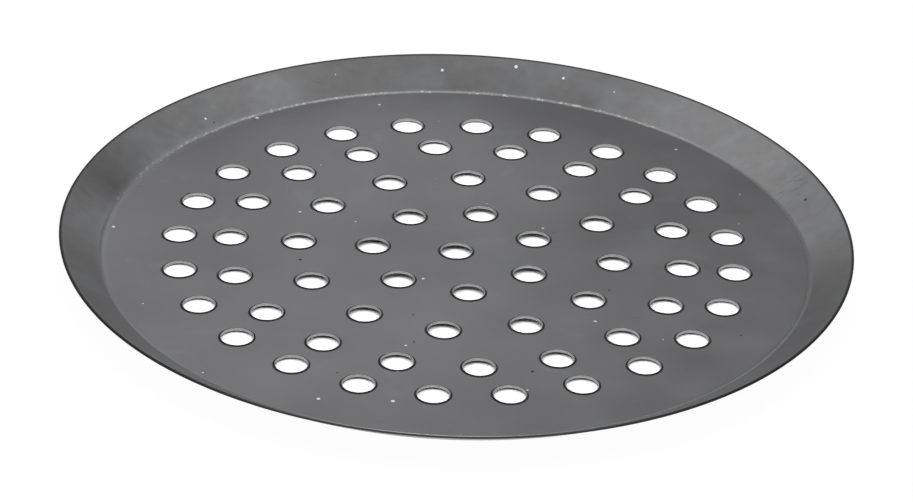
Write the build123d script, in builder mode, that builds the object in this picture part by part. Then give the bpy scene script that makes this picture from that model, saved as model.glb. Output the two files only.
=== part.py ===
"""Perforated pizza pan, pressed from one round of aluminium sheet.

The base is slightly crowned so that it stays steady on an oven shelf, and it is punched
with four rings of round holes about a middle one. A fold turns the sheet up into a low
sloping wall, whose cut rim is rounded over.

Sizes are in millimetres. The origin is the middle of the pan at the level of the surface
that it stands on, with +Z up, and +X runs through a hole of each of the three outer rings.
"""

from build123d import *
from math import cos, radians, sin, tan
import os

os.makedirs("parts", exist_ok=True)

# Sheet
sheet_thickness = 1.0

# Rim and wall
pan_diameter = 305.0  # across the rim
pan_height = 11.0  # from the surface that the pan stands on to the top of the rim
wall_slope = 33.0  # degrees up from level
rim_edge_radius = 0.3  # both corners of the cut edge
fold_radius = 4.0  # between base and wall, on the inside

# Base
resting_ring_width = 12.0  # flat ring between the crowned middle and the fold
crown_height = 1.3  # rise of the middle over that ring
crown_blend_radius = 500.0  # where the crown runs out into the ring

# Punched holes
hole_diameter = 12.0
hole_edge_radius = 0.3  # upper edge, drawn down by the punch
ring_hole_counts = (7, 12, 18, 24)
ring_radius_shares = (0.236, 0.446, 0.640, 0.786)  # of the base's radius
ring_turn_shares = (0.5, 0.0, 0.0, 0.0)  # of the ring's own pitch, from +X

# Places worked out from the sizes
slope = radians(wall_slope)
rounded_off = rim_edge_radius * (cos(slope) + sin(slope) - 1)  # what rounding takes off a corner
rim_x = pan_diameter / 2 + rounded_off - sheet_thickness * sin(slope)
rim_z = pan_height + rounded_off
base_z = sheet_thickness  # upper face of the resting ring
base_radius = rim_x - (rim_z - base_z) / tan(slope)
crown_radius = base_radius - resting_ring_width
seam_turn = 180 / max(ring_hole_counts)  # degrees, so that the seam of the turned sheet misses the holes

with BuildPart() as pan:
    # The sheet's section from the middle hole to the rim, turned about the upright axis
    with BuildSketch(Plane.XZ.rotated((0, 0, seam_turn))) as section:
        with BuildLine():
            with BuildLine() as inner_face:
                crown = TangentArc((0, base_z + crown_height), (crown_radius, base_z), tangent=(1, 0))
                Polyline(crown @ 1, (base_radius, base_z), (rim_x, rim_z))
            corners = inner_face.vertices().sort_by(Axis.X)
            fillet(corners[1], crown_blend_radius)
            fillet(corners[2], fold_radius)
            offset(amount=sheet_thickness, side=Side.RIGHT)
        make_face()
        Rectangle(hole_diameter, pan_height, mode=Mode.SUBTRACT)
        fillet(section.vertices().sort_by(Axis.X)[-2:], rim_edge_radius)
        fillet(section.vertices().group_by(Axis.X)[0].sort_by(Axis.Y)[-1], hole_edge_radius)
    revolve(axis=Axis.Z)

    # The rings of holes, all punched at one stroke
    with BuildSketch():
        for count, radius_share, turn_share in zip(ring_hole_counts, ring_radius_shares, ring_turn_shares):
            with PolarLocations(base_radius * radius_share, count, start_angle=turn_share * 360 / count):
                Circle(hole_diameter / 2)
    extrude(amount=pan_height, mode=Mode.SUBTRACT)
    hole_walls = pan.faces(Select.LAST).filter_by(GeomType.CYLINDER)
    fillet([wall.edges().sort_by(Axis.Z)[-1] for wall in hole_walls], hole_edge_radius)

pan.part.label = "pan"
export_step(pan.part, "parts/pan.step")
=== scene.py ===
"""Looks of the perforated pizza pan: one pressed and punched sheet in hard-anodised aluminium.

All lengths are in metres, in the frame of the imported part: the origin is the middle of the pan at
the level of the surface that it stands on, +Z is up, and +X runs through a hole of each of the
three outer rings.
"""

from collections import namedtuple
from math import cos, hypot, pi, radians, sin, sqrt, tan

import bmesh
import bpy
from bpy.props import FloatProperty, FloatVectorProperty, PointerProperty
from mathutils import Matrix, Vector


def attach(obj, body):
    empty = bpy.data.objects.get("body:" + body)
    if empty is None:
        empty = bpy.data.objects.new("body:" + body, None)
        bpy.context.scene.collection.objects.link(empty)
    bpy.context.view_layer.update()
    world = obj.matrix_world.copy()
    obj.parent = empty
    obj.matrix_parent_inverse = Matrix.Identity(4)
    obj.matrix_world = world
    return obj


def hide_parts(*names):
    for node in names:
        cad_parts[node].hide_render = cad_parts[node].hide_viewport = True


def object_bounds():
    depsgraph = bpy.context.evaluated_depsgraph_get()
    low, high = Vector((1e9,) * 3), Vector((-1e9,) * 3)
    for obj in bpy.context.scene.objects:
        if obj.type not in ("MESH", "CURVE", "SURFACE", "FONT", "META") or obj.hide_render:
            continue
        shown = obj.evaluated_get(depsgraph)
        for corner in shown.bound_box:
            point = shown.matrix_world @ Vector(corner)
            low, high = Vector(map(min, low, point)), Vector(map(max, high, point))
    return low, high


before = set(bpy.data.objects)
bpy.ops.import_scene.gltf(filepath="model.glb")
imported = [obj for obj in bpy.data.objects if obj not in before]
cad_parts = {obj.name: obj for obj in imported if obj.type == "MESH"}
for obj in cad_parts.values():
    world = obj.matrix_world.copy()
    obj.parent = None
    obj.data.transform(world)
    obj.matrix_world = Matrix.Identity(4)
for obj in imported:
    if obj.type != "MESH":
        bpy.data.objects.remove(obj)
cad_low, cad_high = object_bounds()

bl_info = {
    "name": "Perforated Pizza Pan",
    "version": (1, 0, 0),
    "blender": (4, 5, 0),
    "location": "View3D > Sidebar > Pizza Pan",
    "description": "Models and finishes a perforated pizza pan round its packed frame",
    "category": "Object",
}

MM = 0.001
ORIGIN = Vector((0, 0, 0))
UP = Vector((0, 0, 1))
WHITE = (1, 1, 1, 1)
NODE = "pan"

# Rings of punched holes, from the middle outwards: how many holes, the ring's share of the base's
# radius, and its turn from +X as a share of its own pitch
RING_COUNTS = (7, 12, 18, 24)
RING_RADIUS_SHARES = (0.236, 0.446, 0.640, 0.786)
RING_TURN_SHARES = (0.5, 0.0, 0.0, 0.0)

# Facets: steps along the arcs and the sides of one hole's wedge, in each ring, and of the rest
WEDGE_ARC_STEPS = (20, 18, 16, 16)
WEDGE_SIDE_STEPS = (14, 16, 16, 16)
MIDDLE_HOLE_STEPS = 72
ROUND_STEPS = 384
FLAT_STEPS = 4
FOLD_STEPS = 8
WALL_STEPS = 8
CORNER_SEGMENTS = 3

# How the mesh is joined, and how its faces and edges are told apart
SEAM = 2.0 * MM  # left between two rings of wedges, and then bridged
CLOSE = 0.01 * MM  # points nearer than this are one
SHARP = radians(60)  # between faces, at the corners that get rounded
LEVEL = 0.95  # least upright part of a level face's normal
DOWNWARDS = -0.5  # upright part of a normal, below which a face counts as one of the underside
UPRIGHT = 0.1  # most upright part of the normal of a hole's wall
OUTWARDS = 0.8  # least outward part of the normal of the cut rim

# Where the metal is bare, and where bare metal paints a highlight on the parts that face the front
RIM_HIGHLIGHT_AZIMUTH = radians(-88)  # the front, where the rim gets its painted highlight, from +X
RIM_HIGHLIGHT_FALL = 20  # power of the cosine by which the painted highlight on the rim's corner falls off to both sides
CUT_HIGHLIGHT_FALL = 4  # the same for the face of the cut rim
SIDE_LIP_HIGHLIGHT = 0.5  # bare part of a hole's lip at its left and right; it is more behind, where the lip faces the front and gets a painted highlight, less in front

# Painted shade: the coat is coloured dark in the collars beside the cuts
PAINTED_SHADE_FULL = 0.45  # how far in from a collar's outer edge the painted shade is full, as a share
COLLAR_ROUGHNESS = 0.45  # what it adds to the roughness of the coat

# The coat's clouds, broad to fine: size, seed of the noise, depth on the base and on the wall.
# All but the finest are partly painted light and shade: their seeds and depths lay light and dark
# patches where the base and the wall are lit brighter or darker, over the coat's own mottling.
BROADEST = 70 * MM
BLOTCH = 22 * MM  # the clouds that the coat's haze and gloss follow
CLOUDS_AND_PAINTED_LIGHT = (
    (BROADEST, 173.12, -0.5, 0.0),
    (BROADEST, 82.70, -0.35, 0.0),
    (BROADEST, 174.49, -0.25, 0.0),
    (BROADEST, 105.99, 0.0, 0.4),
    (BROADEST, 140.24, 0.0, -0.25),
    (BROADEST, 114.21, 0.0, 0.5),
    (BROADEST, 18.31, 0.0, -0.35),
    (BLOTCH, 112.84, -0.05, 0.1),
    (5 * MM, 1.9, 0.05, 0.3),
)
CLOUD_DETAIL = 4.0
CLOUD_WARP = 0.3  # of all clouds but the broadest
NOISE_MIDDLE = 0.5
WALL_TINT_REACH = 2 * MM  # beyond the fold, where the coat has its tint of the wall
HAZE_SPAN = (0.50, 0.66)  # of the blotches' noise, from clear coat to full haze
HAZE_ON_BASE = 0.03
HAZE_ON_WALL = 0.28
GLOSS_SPREAD = 0.16  # change in roughness over the whole span of the blotches' noise
SMUDGE = 20 * MM
SMUDGE_SEED = 7.7
SMUDGE_WARP = 0.5
SMUDGE_SPAN = (0.60, 0.76)  # of the smudges' noise, from clear coat to a full smudge
SMUDGE_SHARE = 0.30
GRAIN = 0.6 * MM
GRAIN_SEED = 2.3
GRAIN_DETAIL = 3.0
GRAIN_HEIGHT = 0.01 * MM
GRAIN_STRENGTH = 0.25

# Bands along the fold, of painted shade and painted highlights. Across it: the band's middle off
# the fold, half its width where it begins and where it is full, and its share there. Round the pan:
# the azimuth of its side, from +X, and the cosines to that azimuth where it begins and where it is
# full.
Band = namedtuple("Band", "middle begins full share azimuth side_begins side_full")
# Painted shade along the fold at the back
FOLD_SHADE_BAND = Band(-0.4 * MM, 1.2 * MM, 0.4 * MM, 0.28, radians(50), -0.6, 0.0)
# Painted highlight along the fold at the left
FOLD_HIGHLIGHT_BAND = Band(0.0, 3.2 * MM, 0.6 * MM, 0.10, radians(165), 0.7, 0.95)
# Painted highlight beads along the fold between them
BEADED_HIGHLIGHT_BAND = Band(0.2 * MM, 1.0 * MM, 0.7 * MM, 0.36, radians(115), 0.25, 0.8)
BREAK = 5 * MM  # stretches in which the line of beads comes and goes
BREAK_SEED = 5.3
BREAK_SPAN = (0.35, 0.60)  # of the breaks' noise, from the faintest beads to full ones
FAINTEST = 0.25

# Round specks: pitch of their random grid, greatest size, share of the cells that hold one, seed
Specks = namedtuple("Specks", "pitch size share seed")
BEADS = Specks(1.6 * MM, 1.6 * MM, 0.75, 0.19)
DUST = Specks(24 * MM, 1.5 * MM, 0.30, 0.57)
PITS = Specks(24 * MM, 1.4 * MM, 0.22, 0.83)

# Scratches, which are specks made narrow: length, width, and the turn of their random grid
Scratches = namedtuple("Scratches", "length width pitch share seed grid_turn")
FINE_SCRATCHES = (
    Scratches(6 * MM, 0.15 * MM, 40 * MM, 0.02, 0.31, radians(35)),
    Scratches(6 * MM, 0.15 * MM, 40 * MM, 0.02, 0.47, radians(-20)),
)
SCUFF_SCRATCHES = Scratches(5 * MM, 0.4 * MM, 6 * MM, 0.5, 0.71, radians(-50))
SCRATCH_SHARE = 0.5  # of dark colour in a scratch
SCUFF_AZIMUTH = radians(27)  # of the scuff's middle, half way up the wall
SCUFF_REACH = 11 * MM
SCUFF_CORE = SCUFF_REACH / 3  # round the middle, where the scratches are darkest

# Sockets of a Mix node for colours; its names stand for several sockets each
MIX_SHARE, MIX_UNDER, MIX_OVER = 0, 6, 7
MIX_RESULT = 2

FLOOR_REACH = 3.0
FLOOR_GAP = 0.1 * MM  # between the floor and the pan, whose faces would else lie in one plane
PASSED = 0.5  # transparent depth of a ray, above which it has already come through the floor

# Softboxes: name, azimuth from +X and elevation in degrees, width, height, radiance
LAMP_DISTANCE = 2.0
SOFTBOXES = (
    ("behind_left", 113, 30, 1.1, 1.1, 0.1),
    ("left_low", 143, 30, 1.1, 1.1, 0.7),
    ("right", 3, 52, 1.1, 1.1, 1.0),
    ("behind_right", 53, 52, 1.1, 1.1, 1.0),
    ("behind", 93, 52, 1.1, 1.1, 0.8),
    ("left", 133, 52, 1.1, 1.1, 0.8),
    ("far_left", 183, 52, 1.1, 1.1, 1.2),
    ("overhead", 93, 75, 1.1, 1.1, 1.5),
)
# Cards, given in the same way: they show in the metal, and light nothing else
CARDS = (
    ("card_low", 91, 10, 0.6, 0.5, 0.9),
    ("card_upright", 99, 22, 0.65, 1.2, 0.4),
    ("card_left", 123, 25, 0.6, 0.5, 1.1),
    ("card_right", 63, 15, 0.6, 0.5, 1.5),
    ("card_far_right", 38, 16, 1.0, 0.8, 1.2),
    ("card_above", 91, 60, 0.6, 0.5, 1.5),
    ("card_above_left", 123, 60, 0.6, 0.5, 1.5),
    ("card_above_right", 63, 60, 0.6, 0.5, 1.0),
    ("card_front", 273, 30, 1.1, 1.1, 1.0),
)


class PanSizes(bpy.types.PropertyGroup):
    """Sizes of the pan."""

    diameter: FloatProperty(
        name="Diameter", description="Across the rim",
        default=cad_high.x - cad_low.x, subtype="DISTANCE")
    height: FloatProperty(
        name="Height", description="From the surface that the pan stands on to the top of the rim",
        default=cad_high.z - cad_low.z, subtype="DISTANCE")
    sheet: FloatProperty(
        name="Sheet", description="Thickness of the aluminium sheet",
        default=1.0 * MM, subtype="DISTANCE")
    wall_slope: FloatProperty(
        name="Wall slope", description="Of the wall, up from level",
        default=radians(33), subtype="ANGLE")
    fold_radius: FloatProperty(
        name="Fold radius", description="Between base and wall, on the inside",
        default=4.0 * MM, subtype="DISTANCE")
    rim_edge_radius: FloatProperty(
        name="Rim edge radius", description="Both corners of the cut rim",
        default=0.3 * MM, subtype="DISTANCE")
    resting_ring: FloatProperty(
        name="Resting ring", description="Width of the flat ring between the crown and the fold",
        default=12.0 * MM, subtype="DISTANCE")
    crown: FloatProperty(
        name="Crown", description="Rise of the base's middle over the resting ring",
        default=1.3 * MM, subtype="DISTANCE")
    crown_blend_radius: FloatProperty(
        name="Crown blend radius", description="Where the crown runs out into the resting ring",
        default=500.0 * MM, subtype="DISTANCE")
    hole_diameter: FloatProperty(
        name="Hole diameter", description="Of every punched hole",
        default=12.0 * MM, subtype="DISTANCE")
    hole_edge_radius: FloatProperty(
        name="Hole edge radius", description="Upper edge of a hole, drawn down by the punch",
        default=0.3 * MM, subtype="DISTANCE")
    deburr_radius: FloatProperty(
        name="Deburr radius", description="Lower edge of a hole, broken after punching",
        default=0.08 * MM, subtype="DISTANCE")
    # The collar is the strip beside a cut where shade is painted dark into the coat
    collar: FloatProperty(
        name="Collar", description="Width of the sheet beside a cut that is pressed dark",
        default=1.0 * MM, subtype="DISTANCE")
    # Shifting the collars to the front makes the painted shade reach further on the front side of
    # each hole
    shade_shift_to_front: FloatProperty(
        name="Collar shift", description="How far the collars of the holes lie towards the front",
        default=0.75 * MM, subtype="DISTANCE")


class PanFinish(bpy.types.PropertyGroup):
    """Colours and gloss of the pan."""

    coat_color: FloatVectorProperty(
        name="Coat", description="Hard-anodised face of the sheet",
        default=(0.171, 0.172, 0.177), subtype="COLOR", min=0, max=1)
    wall_color: FloatVectorProperty(
        name="Coat of the wall", description="Where the drawn metal has tinted the coat",
        default=(0.165, 0.166, 0.169), subtype="COLOR", min=0, max=1)
    haze_color: FloatVectorProperty(
        name="Haze", description="Bluish haze and smudges on the coat",
        default=(0.215, 0.226, 0.240), subtype="COLOR", min=0, max=1)
    # Colour of the painted shade beside the cuts and along the fold, and of the dark of scratches
    painted_shade_and_scratch_color: FloatVectorProperty(
        name="Collar", description="Coat pressed dark beside the cuts, and the dark of scratches",
        default=(0.022, 0.022, 0.023), subtype="COLOR", min=0, max=1)
    # Bare metal of the holes' walls; on the lips and the front of the rim it is also a painted
    # highlight
    bare_and_highlight_color: FloatVectorProperty(
        name="Bare metal", description="Aluminium where the punch cut through the coat",
        default=(0.55, 0.55, 0.56), subtype="COLOR", min=0, max=1)
    # Colour of the painted highlights along the fold
    fold_highlight_color: FloatVectorProperty(
        name="Burnish", description="Coat rubbed pale along the fold",
        default=(0.45, 0.46, 0.47), subtype="COLOR", min=0, max=1)
    dust_color: FloatVectorProperty(
        name="Dust", description="Specks of dust",
        default=(0.75, 0.75, 0.74), subtype="COLOR", min=0, max=1)
    pit_color: FloatVectorProperty(
        name="Pit", description="Dark pits in the coat",
        default=(0.01, 0.01, 0.01), subtype="COLOR", min=0, max=1)
    # Partly a painted highlight: the lips' bare share is scaled up on the side that faces the front
    lip_bare_and_highlight: FloatProperty(
        name="Bare share of the lips", description="Of the drawn edges of the holes",
        default=0.9, min=0, max=1)
    wall_bare: FloatProperty(
        name="Bare share of the hole walls", description="Of the walls that the punch cut",
        default=0.85, min=0, max=1)
    # Painted shade on the rim's corners, as a share of that beside a hole
    rim_shade: FloatProperty(
        name="Pressed share of the rim",
        description="How dark the rim's corners are beside those of a hole",
        default=0.38, min=0, max=1)
    # Painted highlight: the upper corner of the rim is bare only towards the front
    rim_highlight: FloatProperty(
        name="Bare share of the rim", description="Of the upper corner of the cut rim",
        default=0.8, min=0, max=1)
    # Painted highlight: the face of the cut rim is bare only towards the front
    cut_highlight: FloatProperty(
        name="Bare share of the cut", description="Of the face of the cut rim",
        default=0.18, min=0, max=1)
    metallic: FloatProperty(
        name="Metallic", description="Of the coat, which is thin enough to show the metal",
        default=0.75, min=0, max=1)
    edge_tint: FloatVectorProperty(
        name="Edge tint", description="Tint of what the coat reflects at a glancing angle",
        default=(0.85, 0.85, 0.86), subtype="COLOR", min=0, max=1)
    roughness: FloatProperty(
        name="Roughness", description="Of the coat, before its cloudy variation",
        default=0.32, min=0, max=1)


class PanStage(bpy.types.PropertyGroup):
    """Floor, light and camera."""

    floor_color: FloatVectorProperty(
        name="Floor", description="Pale floor that the pan stands on",
        default=(0.88, 0.88, 0.88), subtype="COLOR", min=0, max=1)
    floor_white: FloatVectorProperty(
        name="Floor as seen", description="What the camera and reflections see the floor in",
        default=(2.4, 2.4, 2.4), subtype="COLOR", min=0, max=4)
    shadow_share: FloatProperty(
        name="Shadow share", description="How much of its shading the floor beside the pan shows",
        default=0.03, min=0, max=1)
    room_reflected: FloatProperty(
        name="Room in reflections", description="Brightness of the room that the metal reflects",
        default=0.26, min=0)
    elevation: FloatProperty(
        name="Elevation", description="Of the camera above the floor",
        default=radians(28.888), subtype="ANGLE")
    azimuth: FloatProperty(
        name="Azimuth", description="Of the camera round the pan, from the side of -Y",
        default=radians(3.3), subtype="ANGLE")
    roll: FloatProperty(
        name="Roll", description="Of the camera about its own line of sight",
        default=radians(-2.39), subtype="ANGLE")
    distance: FloatProperty(
        name="Distance", description="From the camera to the point that it looks at",
        default=1.7716, subtype="DISTANCE")
    aim: FloatVectorProperty(
        name="Aim", description="The point that the camera looks at",
        default=(0.0, 1.45 * MM, 1.33 * MM), subtype="TRANSLATION")
    lens: FloatProperty(
        name="Lens", description="Focal length on a sensor 36 mm wide",
        default=181.2, unit="CAMERA")


class Section:
    """The upper face's half section: radii and heights worked out from the sizes.

    The crown is an arc of radius dome, which runs out into the flat ring by one of radius blend.
    """

    def __init__(self, sizes):
        self.slope = sizes.wall_slope
        self.floor = sizes.sheet
        rounded_off = sizes.rim_edge_radius * (cos(self.slope) + sin(self.slope) - 1)
        self.rim_radius = sizes.diameter / 2 + rounded_off - sizes.sheet * sin(self.slope)
        self.rim_height = sizes.height + rounded_off
        self.base_radius = self.rim_radius - (self.rim_height - self.floor) / tan(self.slope)
        self.fold_radius = sizes.fold_radius
        self.fold_start = self.base_radius - sizes.fold_radius * tan(self.slope / 2)
        crown_radius = self.base_radius - sizes.resting_ring
        self.crown = sizes.crown
        self.dome = (crown_radius ** 2 + sizes.crown ** 2) / (2 * sizes.crown)
        self.blend = sizes.crown_blend_radius
        rise = self.blend + self.dome - self.crown
        self.blend_end = sqrt((self.dome + self.blend) ** 2 - rise ** 2)
        self.blend_start = self.blend_end * self.dome / (self.dome + self.blend)

    def height_at(self, radius):
        """Height of the base's upper face at that radius."""
        if radius < self.blend_start:
            return self.floor + self.crown - self.dome + sqrt(self.dome ** 2 - radius ** 2)
        if radius < self.blend_end:
            return self.floor + self.blend - sqrt(self.blend ** 2 - (self.blend_end - radius) ** 2)
        return self.floor


def row(mesh, start, end, steps):
    """Draws a point out in even steps to a place; returns the last point and the row's parts."""
    stride = (Vector(end) - start.co) / steps
    made = [start]
    for _ in range(steps):
        drawn = bmesh.ops.extrude_vert_indiv(mesh, verts=[start])
        start = drawn["verts"][0]
        start.co += stride
        made += drawn["edges"] + drawn["verts"]
    return start, made


def edges_of(verts):
    """Each edge at those points, once and in their order."""
    return list(dict.fromkeys(edge for vert in verts for edge in vert.link_edges))


def circle(mesh, radius, steps, middle=ORIGIN):
    """A round of edges, for a hole."""
    made = bmesh.ops.create_circle(
        mesh, segments=steps, radius=radius, matrix=Matrix.Translation(middle))
    return edges_of(made["verts"])


def mark_collar(mesh, collar):
    """Marks the points on the outer round of a hole's collar."""
    on_collar = mesh.verts.layers.float["on_collar"]
    for edge in collar:
        for vert in edge.verts:
            vert[on_collar] = 1


def round_at(mesh, radius):
    """The open round of edges about the pan's axis at that radius."""
    return [edge for edge in mesh.edges if edge.is_boundary
            and all(abs(hypot(*vert.co.xy) - radius) < CLOSE for vert in edge.verts)]


def hole_wedge(hole_radius, collar_radius, middle, inner, outer, pitch, arc_steps, side_steps):
    """A wedge of flat sheet with one hole and its collar, centred on +X."""
    wedge = bmesh.new()
    wedge.verts.layers.float.new("on_collar")
    start = wedge.verts.new((inner, 0, 0))
    side = row(wedge, start, (outer, 0, 0), side_steps)[1]
    to_side = Matrix.Rotation(-pitch / 2, 3, "Z")
    bmesh.ops.rotate(wedge, verts=wedge.verts, cent=ORIGIN, matrix=to_side)
    bmesh.ops.spin(wedge, geom=side, cent=ORIGIN, axis=UP, angle=pitch, steps=arc_steps)
    bmesh.ops.delete(wedge, geom=wedge.faces[:], context="FACES_KEEP_BOUNDARY")
    outline = wedge.edges[:]
    collar = circle(wedge, collar_radius, len(outline), middle)
    spokes = bmesh.ops.bridge_loops(wedge, edges=outline + collar)["edges"]
    bmesh.ops.subdivide_edges(wedge, edges=spokes, cuts=1, use_grid_fill=True)
    mark_collar(wedge, collar)
    hole = circle(wedge, hole_radius, len(outline), middle)
    bmesh.ops.bridge_loops(wedge, edges=collar + hole)
    return wedge


def merge(blank, ring):
    """Moves the geometry of one mesh into another."""
    bmesh.ops.remove_doubles(ring, verts=ring.verts, dist=CLOSE / 2)
    copy = bpy.data.meshes.new("ring")
    ring.to_mesh(copy)
    ring.free()
    blank.from_mesh(copy)
    bpy.data.meshes.remove(copy)


def shift_shade_to_front(blank, shift):
    """Moves the marked rounds of the collars towards the front, so that the painted shade beside
    each hole reaches further on its front side, and drops their marks.
    """
    on_collar = blank.verts.layers.float["on_collar"]
    for vert in blank.verts:
        vert.co.y -= shift * vert[on_collar]
    blank.verts.layers.float.remove(on_collar)


def punched_blank(sizes, section):
    """The flat base with all its holes, and the radius of its edge beyond the last ring."""
    blank = bmesh.new()
    blank.verts.layers.float.new("on_collar")
    hole_radius = sizes.hole_diameter / 2
    collar_radius = hole_radius + sizes.hole_edge_radius + sizes.collar
    hole = circle(blank, hole_radius, MIDDLE_HOLE_STEPS)
    collar = circle(blank, collar_radius, MIDDLE_HOLE_STEPS)
    mark_collar(blank, collar)
    bmesh.ops.bridge_loops(blank, edges=hole + collar)
    edge_radius = collar_radius

    radii = [section.base_radius * share for share in RING_RADIUS_SHARES]
    middles = [0, *radii, 2 * radii[-1] - radii[-2]]
    seams = [(inside + outside) / 2 for inside, outside in zip(middles, middles[1:])]
    for ring, (count, turn_share) in enumerate(zip(RING_COUNTS, RING_TURN_SHARES)):
        pitch = 2 * pi / count
        inner, outer = seams[ring] + SEAM / 2, seams[ring + 1] - SEAM / 2
        middle = Vector((radii[ring], 0, 0))
        wedge = hole_wedge(hole_radius, collar_radius, middle, inner, outer, pitch,
                           WEDGE_ARC_STEPS[ring], WEDGE_SIDE_STEPS[ring])
        parts = wedge.verts[:] + wedge.edges[:] + wedge.faces[:]
        bmesh.ops.spin(wedge, geom=parts, cent=ORIGIN, axis=UP, angle=2 * pi - pitch,
                       steps=count - 1, use_duplicate=True)
        turn = Matrix.Rotation(turn_share * pitch, 3, "Z")
        bmesh.ops.rotate(wedge, verts=wedge.verts, cent=ORIGIN, matrix=turn)
        merge(blank, wedge)
        seam = round_at(blank, edge_radius) + round_at(blank, inner)
        bmesh.ops.bridge_loops(blank, edges=seam)
        edge_radius = outer
    shift_shade_to_front(blank, sizes.shade_shift_to_front)
    return blank, edge_radius


def add_wall(sheet, sizes, section, edge_radius):
    """Turns the resting ring, the fold and the wall about the axis, and joins them to the base."""
    inner = edge_radius + SEAM
    first = sheet.verts.new((inner, 0, 0))
    fold_start = row(sheet, first, (section.fold_start, 0, 0), FLAT_STEPS)[0]
    bend_middle = (section.fold_start, 0, section.fold_radius)
    bend = bmesh.ops.spin(sheet, geom=[fold_start], cent=bend_middle, axis=(0, -1, 0),
                          angle=section.slope, steps=FOLD_STEPS)["geom_last"]
    rim = Vector((section.rim_radius, 0, section.rim_height - section.floor))
    up_the_wall = Vector((cos(section.slope), 0, sin(section.slope)))
    collar_start = rim - up_the_wall * (sizes.rim_edge_radius + sizes.collar)
    fold_end = next(part for part in bend if isinstance(part, bmesh.types.BMVert))
    collar_end = row(sheet, fold_end, collar_start, WALL_STEPS)[0]
    row(sheet, collar_end, rim, 1)
    loose = [vert for vert in sheet.verts if not vert.link_faces]
    bmesh.ops.spin(sheet, geom=loose + edges_of(loose), cent=ORIGIN, axis=UP, angle=2 * pi,
                   steps=ROUND_STEPS, use_merge=True)
    bmesh.ops.bridge_loops(sheet, edges=round_at(sheet, edge_radius) + round_at(sheet, inner))


def press(sheet, section):
    """Raises the flat sheet to its height and presses the crown into its base."""
    for vert in sheet.verts:
        radius = hypot(*vert.co.xy)
        if radius < section.fold_start - CLOSE:
            vert.co.z = section.height_at(radius)
        else:
            vert.co.z += section.floor


def corner_of(edge):
    """Where a sharp edge is: at a hole or the rim, and on the upper or the lower side."""
    if edge.calc_face_angle(0) < SHARP:
        return None
    tilts = [face.normal.z for face in edge.link_faces]
    place = "hole" if max(abs(tilt) for tilt in tilts) > LEVEL else "rim"
    return place, "lower" if min(tilts) < DOWNWARDS else "upper"


def round_corners(sheet, sizes, finish):
    """Rounds the cut edges, and marks how much shade is painted on the collar beside each and its
    share of bare metal.
    """
    collar = sheet.verts.layers.float.new("collar")
    bare = sheet.faces.layers.float.new("bare")
    rim_radius, rim_shade = sizes.rim_edge_radius, finish.rim_shade
    # pressed: how much shade is painted on the collar beside that corner
    for corner, radius, pressed, bare_share in (
            (("hole", "lower"), sizes.deburr_radius, 0, 1),
            (("rim", "lower"), rim_radius, rim_shade, 0),
            (("rim", "upper"), rim_radius, rim_shade, finish.rim_highlight),
            (("hole", "upper"), sizes.hole_edge_radius, 1, finish.lip_bare_and_highlight)):
        sheet.normal_update()
        edges = [edge for edge in sheet.edges if corner_of(edge) == corner]
        made = bmesh.ops.bevel(sheet, geom=edges, offset=radius, offset_type="OFFSET",
                               segments=CORNER_SEGMENTS, profile=0.5, affect="EDGES", material=-1,
                               clamp_overlap=True)
        for face in made["faces"]:
            face[bare] = bare_share
            for vert in face.verts:
                vert[collar] = max(vert[collar], pressed)


def bare_metal_and_highlights(sheet, finish, section):
    """Sets the share of bare metal in the holes' walls, and bare metal painted as a highlight: on
    the rim's corner and cut face towards the front, and on the lips more on the side that faces the
    front.
    """
    bare = sheet.faces.layers.float["bare"]
    front_side = Vector((cos(RIM_HIGHLIGHT_AZIMUTH), sin(RIM_HIGHLIGHT_AZIMUTH), 0))
    for face in sheet.faces:
        outwards = Vector((*face.calc_center_median().xy, 0))
        if outwards.length > section.base_radius:
            outwards.normalize()
            # painted highlight: the rim is bare only towards the front
            toward_front = max(0, outwards.dot(front_side))
            face[bare] *= toward_front ** RIM_HIGHLIGHT_FALL
            if face.normal.dot(outwards) > OUTWARDS:
                face[bare] = finish.cut_highlight * toward_front ** CUT_HIGHLIGHT_FALL
        elif abs(face.normal.z) < UPRIGHT:
            face[bare] = finish.wall_bare
        elif face.normal.z > 0:
            # painted highlight: more of the lip is bare on its side that faces the front
            face[bare] *= min(1, max(0, SIDE_LIP_HIGHLIGHT - face.normal.y))


def pan_mesh(sizes, finish, section):
    """The whole pan as a closed mesh."""
    sheet, edge_radius = punched_blank(sizes, section)
    add_wall(sheet, sizes, section, edge_radius)
    press(sheet, section)
    bmesh.ops.remove_doubles(sheet, verts=sheet.verts, dist=CLOSE / 2)
    bmesh.ops.recalc_face_normals(sheet, faces=sheet.faces)
    if sum(face.normal.z for face in sheet.faces) < 0:
        bmesh.ops.reverse_faces(sheet, faces=sheet.faces)
    bmesh.ops.solidify(sheet, geom=sheet.faces[:], thickness=sizes.sheet)
    round_corners(sheet, sizes, finish)
    sheet.normal_update()
    bare_metal_and_highlights(sheet, finish, section)
    for face in sheet.faces:
        face.smooth = True
    made = bpy.data.meshes.new("perforated_pan")
    sheet.to_mesh(made)
    sheet.free()
    return made


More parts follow.
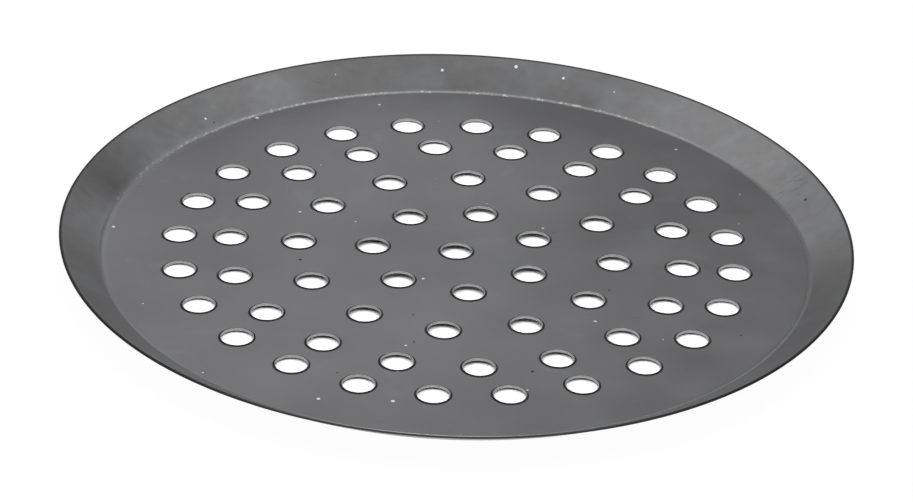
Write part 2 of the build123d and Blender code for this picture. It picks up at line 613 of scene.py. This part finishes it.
class Tree:
    """A node tree that is written as calls, each of which adds a node and gives its output."""

    def __init__(self, owner):
        owner.use_nodes = True
        self.nodes = owner.node_tree.nodes
        self.links = owner.node_tree.links
        self.nodes.clear()

    def add(self, kind, *inputs, out=0, named=None, **values):
        """A node of that kind; inputs in order, or by name, are other nodes' outputs or values."""
        node = self.nodes.new("ShaderNode" + kind)
        for name, value in values.items():
            setattr(node, name, value)
        for key, value in [*enumerate(inputs), *(named or {}).items()]:
            if isinstance(value, bpy.types.NodeSocket):
                self.links.new(value, node.inputs[key])
            elif value is not None:
                node.inputs[key].default_value = value
        return node.outputs[out] if node.outputs else None

    def math(self, operation, *inputs):
        """The result of an operation on numbers."""
        return self.add("Math", *inputs, operation=operation)

    def vector(self, operation, *inputs, out="Vector"):
        """The result of an operation on vectors, which is a number where out is Value."""
        return self.add("VectorMath", *inputs, operation=operation, out=out)

    def ramp(self, value, low, high, to_low=0.0, to_high=1.0):
        """The value carried smoothly from one span to another, and held at its ends."""
        return self.add("MapRange", value, low, high, to_low, to_high,
                        interpolation_type="SMOOTHSTEP")

    def noise(self, place, size, seed, detail=2.0, warp=0.0):
        """Cloudy noise about its middle, with patches of that size in metres; seed shifts it."""
        moved = self.vector("ADD", place, (seed, seed, seed))
        return self.add("TexNoise", named={
            "Vector": moved, "Scale": 1 / size, "Detail": detail, "Distortion": warp})

    def blend(self, share, under, over):
        """One colour laid over another by a share."""
        under, over = (value if isinstance(value, bpy.types.NodeSocket) else (*value, 1)
                       for value in (under, over))
        return self.add("Mix", data_type="RGBA", out=MIX_RESULT, named={
            MIX_SHARE: share, MIX_UNDER: under, MIX_OVER: over})

    def place(self):
        """The place on the object, the same on the level, and its distance from the axis."""
        place = self.add("TexCoord", out="Object")
        flat_place = self.vector("MULTIPLY", place, (1, 1, 0))
        return place, flat_place, self.vector("LENGTH", flat_place, out="Value")


def specks(tree, flat_place, marks):
    """Round specks of all sizes up to the greatest, each in a cell of a random grid."""
    moved = tree.vector("ADD", flat_place, (marks.seed, marks.seed, 0))
    cells = {"Vector": moved, "Scale": 1 / marks.pitch, "Randomness": 1.0}
    distance = tree.add("TexVoronoi", named=cells, voronoi_dimensions="2D", out="Distance")
    draw = tree.add("TexVoronoi", named=cells, voronoi_dimensions="2D", out="Color")
    chance, girth = (tree.add("SeparateColor", draw, out=channel) for channel in ("Red", "Green"))
    reach = tree.math("MULTIPLY", girth, marks.size / 2 / marks.pitch)
    inside = tree.math("LESS_THAN", distance, reach)
    return tree.math("MULTIPLY", inside, tree.math("LESS_THAN", chance, marks.share))


def scratches(tree, flat_place, marks):
    """Fine straight scratches along X: specks as large as their length, made narrow along Y."""
    narrowed = tree.add("Mapping", flat_place, named={
        "Location": (marks.seed, marks.seed, 0),
        "Rotation": (0, 0, marks.grid_turn),
        "Scale": (1.0, marks.length / marks.width, 1.0)})
    return specks(tree, narrowed, Specks(marks.pitch, marks.length, marks.share, marks.seed))


def clouded_and_shaded_coat(tree, finish, place, on_wall):
    """The coat with its clouds, which are partly painted light and shade, its haze and smudges, and
    the noise of its blotches.
    """
    shade = 1.0
    for size, seed, base_depth, wall_depth in CLOUDS_AND_PAINTED_LIGHT:
        warp = CLOUD_WARP if size < BROADEST else 0.0
        clouds = tree.noise(place, size, seed, CLOUD_DETAIL, warp)
        if size == BLOTCH:
            blotches = clouds
        depth = tree.math("MULTIPLY_ADD", on_wall, wall_depth - base_depth, base_depth)
        lift = tree.math("SUBTRACT", clouds, NOISE_MIDDLE)
        shade = tree.math("MULTIPLY_ADD", lift, depth, shade)
    coat = tree.blend(on_wall, finish.coat_color, finish.wall_color)
    haze_depth = tree.math("MULTIPLY_ADD", on_wall, HAZE_ON_WALL - HAZE_ON_BASE, HAZE_ON_BASE)
    haze = tree.math("MULTIPLY", tree.ramp(blotches, *HAZE_SPAN), haze_depth)
    coat = tree.blend(haze, coat, finish.haze_color)
    smudges = tree.noise(place, SMUDGE, SMUDGE_SEED, warp=SMUDGE_WARP)
    smudges = tree.ramp(smudges, *SMUDGE_SPAN, 0.0, SMUDGE_SHARE)
    coat = tree.blend(smudges, coat, finish.haze_color)
    return tree.add("VectorMath", coat, named={"Scale": shade}, operation="SCALE"), blotches


def fold_band(tree, flat_place, radius, section, band):
    """The share of a band along the fold, which fades out across it and round the pan."""
    off_middle = tree.math("SUBTRACT", radius, section.base_radius + band.middle)
    across = tree.ramp(tree.math("ABSOLUTE", off_middle), band.begins, band.full, 0.0, band.share)
    outwards = tree.vector("NORMALIZE", flat_place)
    side = (cos(band.azimuth), sin(band.azimuth), 0)
    to_side = tree.vector("DOT_PRODUCT", outwards, side, out="Value")
    return tree.math("MULTIPLY", across, tree.ramp(to_side, band.side_begins, band.side_full))


def shaded_and_lit_fold(tree, finish, coat, place, flat_place, radius, section):
    """The coat along the fold: painted shade at the back, a painted highlight at the left, and
    painted highlight beads between them.
    """
    dull = fold_band(tree, flat_place, radius, section, FOLD_SHADE_BAND)
    coat = tree.blend(dull, coat, finish.painted_shade_and_scratch_color)
    pale = fold_band(tree, flat_place, radius, section, FOLD_HIGHLIGHT_BAND)
    coat = tree.blend(pale, coat, finish.fold_highlight_color)
    beaded = fold_band(tree, flat_place, radius, section, BEADED_HIGHLIGHT_BAND)
    broken = tree.ramp(tree.noise(place, BREAK, BREAK_SEED), *BREAK_SPAN, FAINTEST, 1.0)
    beads = tree.math("MULTIPLY", specks(tree, flat_place, BEADS), broken)
    return tree.blend(tree.math("MULTIPLY", beads, beaded), coat, finish.fold_highlight_color)


def marked_coat(tree, finish, coat, flat_place, section):
    """Handling marks: fine scratches, a scuff on the wall, dust and pits."""
    for marks in FINE_SCRATCHES:
        dark = tree.math("MULTIPLY", scratches(tree, flat_place, marks), SCRATCH_SHARE)
        coat = tree.blend(dark, coat, finish.painted_shade_and_scratch_color)
    scuff_radius = (section.base_radius + section.rim_radius) / 2
    scuff_middle = (scuff_radius * cos(SCUFF_AZIMUTH), scuff_radius * sin(SCUFF_AZIMUTH), 0)
    off_scuff = tree.vector("DISTANCE", flat_place, scuff_middle, out="Value")
    scuffed = tree.ramp(off_scuff, SCUFF_REACH, SCUFF_CORE, 0.0, SCRATCH_SHARE)
    dark = tree.math("MULTIPLY", scratches(tree, flat_place, SCUFF_SCRATCHES), scuffed)
    coat = tree.blend(dark, coat, finish.painted_shade_and_scratch_color)
    coat = tree.blend(specks(tree, flat_place, DUST), coat, finish.dust_color)
    return tree.blend(specks(tree, flat_place, PITS), coat, finish.pit_color)


def coat_material(finish, section):
    """Hard-anodised sheet: satin grey with faint clouds, partly painted light and shade, painted
    shade and highlights at the cuts and the fold, and bare metal where it is punched.
    """
    material = bpy.data.materials.new("anodised_aluminium")
    tree = Tree(material)
    place, flat_place, radius = tree.place()
    on_wall = tree.ramp(radius, section.fold_start, section.base_radius + WALL_TINT_REACH)
    coat, blotches = clouded_and_shaded_coat(tree, finish, place, on_wall)
    coat = shaded_and_lit_fold(tree, finish, coat, place, flat_place, radius, section)
    coat = marked_coat(tree, finish, coat, flat_place, section)

    # Painted shade in the collars beside the cuts, and the cuts' bare walls
    collar, bare = (tree.add("Attribute", attribute_name=name, out="Fac")
                    for name in ("collar", "bare"))
    pressed = tree.ramp(collar, 0.0, PAINTED_SHADE_FULL)
    coat = tree.blend(pressed, coat, finish.painted_shade_and_scratch_color)
    color = tree.blend(bare, coat, finish.bare_and_highlight_color)

    lift = tree.math("SUBTRACT", blotches, NOISE_MIDDLE)
    roughness = tree.math("MULTIPLY_ADD", lift, GLOSS_SPREAD, finish.roughness)
    dull = tree.math("MULTIPLY", pressed, tree.math("SUBTRACT", 1.0, bare))
    roughness = tree.math("MULTIPLY_ADD", dull, COLLAR_ROUGHNESS, roughness)
    grain = tree.noise(place, GRAIN, GRAIN_SEED, GRAIN_DETAIL)
    relief = tree.add("Bump", named={
        "Strength": GRAIN_STRENGTH, "Distance": GRAIN_HEIGHT, "Height": grain})
    shader = tree.add("BsdfPrincipled", named={
        "Base Color": color, "Metallic": finish.metallic, "Roughness": roughness,
        "Normal": relief, "Specular Tint": (*finish.edge_tint, 1)})
    tree.add("OutputMaterial", shader)
    return material


def link(data, name):
    """An object in the scene that shows that data."""
    made = bpy.data.objects.new(name, data)
    bpy.context.scene.collection.objects.link(made)
    return made


class PAN_OT_press(bpy.types.Operator):
    """Model the punched and pressed pan and give it its finish"""

    bl_idname = "pan.press"
    bl_label = "Press the Pan"

    def execute(self, context):
        sizes, finish = context.scene.pan_sizes, context.scene.pan_finish
        section = Section(sizes)
        piece = link(pan_mesh(sizes, finish, section), "perforated_pan")
        piece.data.materials.append(coat_material(finish, section))
        smooth = piece.modifiers.new("flat faces stay flat", "WEIGHTED_NORMAL")
        smooth.keep_sharp = True
        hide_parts(NODE)
        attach(piece, "root")
        return {"FINISHED"}


def floor_material(stage, section):
    """Pale floor. Beside the pan it shows mostly its own white, under the pan all its shading.

    From below it is clear, so that the pan's underside shows.
    """
    material = bpy.data.materials.new("floor")
    tree = Tree(material)
    seen = tree.add("LightPath", out="Is Camera Ray")
    for ray in ("Is Glossy Ray", "Is Transmission Ray"):
        seen = tree.math("MAXIMUM", seen, tree.add("LightPath", out=ray))
    radius = tree.place()[2]
    white = tree.ramp(radius, section.fold_start, section.base_radius, 0.0, 1 - stage.shadow_share)
    shaded = tree.add("BsdfDiffuse", tree.blend(seen, stage.floor_color, stage.floor_white))
    glow = tree.add("Emission", WHITE, 1.0)
    floor = tree.add("MixShader", tree.math("MULTIPLY", seen, white), shaded, glow)
    from_below = tree.add("NewGeometry", out="Backfacing")
    passed = tree.math("GREATER_THAN", tree.add("LightPath", out="Transparent Depth"), PASSED)
    clear = tree.math("MAXIMUM", from_below, passed)
    tree.add("OutputMaterial", tree.add("MixShader", clear, floor, tree.add("BsdfTransparent")))
    return material


def room(stage):
    """The room round the stage: white to the camera, dim in reflections, no light to the pan."""
    world = bpy.data.worlds.new("room")
    tree = Tree(world)
    glossy = tree.add("LightPath", out="Is Glossy Ray")
    reflected = tree.math("MULTIPLY", glossy, stage.room_reflected)
    strength = tree.math("MAXIMUM", tree.add("LightPath", out="Is Camera Ray"), reflected)
    tree.add("OutputWorld", tree.add("Background", WHITE, strength))
    return world


def camera_view(stage):
    """The camera's turn and place, as a matrix."""
    right = Vector((cos(stage.azimuth), sin(stage.azimuth), 0))
    level = UP.cross(right)
    forward = level * cos(stage.elevation) - UP * sin(stage.elevation)
    above = right.cross(forward)
    across_frame = right * cos(stage.roll) - above * sin(stage.roll)
    up_frame = right * sin(stage.roll) + above * cos(stage.roll)
    view = Matrix((across_frame, up_frame, -forward)).transposed().to_4x4()
    view.translation = Vector(stage.aim) - forward * stage.distance
    return view


def add_floor(stage, section):
    """The floor, a hair below the pan."""
    mesh = bpy.data.meshes.new("floor")
    plane = bmesh.new()
    bmesh.ops.create_grid(plane, x_segments=1, y_segments=1, size=FLOOR_REACH,
                          matrix=Matrix.Translation((0, 0, -FLOOR_GAP)))
    plane.to_mesh(mesh)
    plane.free()
    mesh.materials.append(floor_material(stage, section))
    floor = link(mesh, "floor")


def add_lamp(name, azimuth, elevation, width, height, radiance):
    """A softbox that faces the pan, unseen by the camera; angles in degrees."""
    lamp = bpy.data.lights.new(name, "AREA")
    lamp.shape = "RECTANGLE"
    lamp.size, lamp.size_y = width, height
    lamp.energy = radiance * pi * width * height
    azimuth, elevation = radians(azimuth), radians(elevation)
    out = Vector((cos(azimuth) * cos(elevation), sin(azimuth) * cos(elevation), sin(elevation)))
    holder = link(lamp, name)
    holder.location = out * LAMP_DISTANCE
    holder.rotation_euler = (-out).to_track_quat("-Z", "Y").to_euler()
    holder.visible_camera = False
    return holder


class PAN_OT_stage(bpy.types.Operator):
    """Set up the floor, the light and the camera"""

    bl_idname = "pan.stage"
    bl_label = "Set the Stage"

    def execute(self, context):
        stage = context.scene.pan_stage
        add_floor(stage, Section(context.scene.pan_sizes))
        for lamp in SOFTBOXES:
            add_lamp(*lamp)
        for card in CARDS:
            add_lamp(*card).visible_diffuse = False
        context.scene.world = room(stage)
        camera = bpy.data.cameras.new("camera")
        camera.lens = stage.lens
        viewer = link(camera, "camera")
        viewer.matrix_world = camera_view(stage)
        context.scene.camera = viewer
        context.scene.view_settings.view_transform = "Standard"
        return {"FINISHED"}


class PAN_PT_sidebar(bpy.types.Panel):
    """Sizes, finish and stage of the pan, and the steps that make them"""

    bl_idname = "PAN_PT_sidebar"
    bl_label = "Pizza Pan"
    bl_space_type = "VIEW_3D"
    bl_region_type = "UI"
    bl_category = "Pizza Pan"

    def draw(self, context):
        scene = context.scene
        for step, groups in (("pan.press", (scene.pan_sizes, scene.pan_finish)),
                             ("pan.stage", (scene.pan_stage,))):
            for group in groups:
                for name in group.__annotations__:
                    self.layout.prop(group, name)
            self.layout.operator(step)


CLASSES = (PanSizes, PanFinish, PanStage, PAN_OT_press, PAN_OT_stage, PAN_PT_sidebar)


def register():
    for kind in CLASSES:
        bpy.utils.register_class(kind)
    bpy.types.Scene.pan_sizes = PointerProperty(type=PanSizes)
    bpy.types.Scene.pan_finish = PointerProperty(type=PanFinish)
    bpy.types.Scene.pan_stage = PointerProperty(type=PanStage)


def unregister():
    del bpy.types.Scene.pan_stage, bpy.types.Scene.pan_finish, bpy.types.Scene.pan_sizes
    for kind in reversed(CLASSES):
        bpy.utils.unregister_class(kind)


def main():
    """Makes the pan and its stage."""
    register()
    bpy.ops.pan.press()
    bpy.ops.pan.stage()


if __name__ == "__main__":
    main()
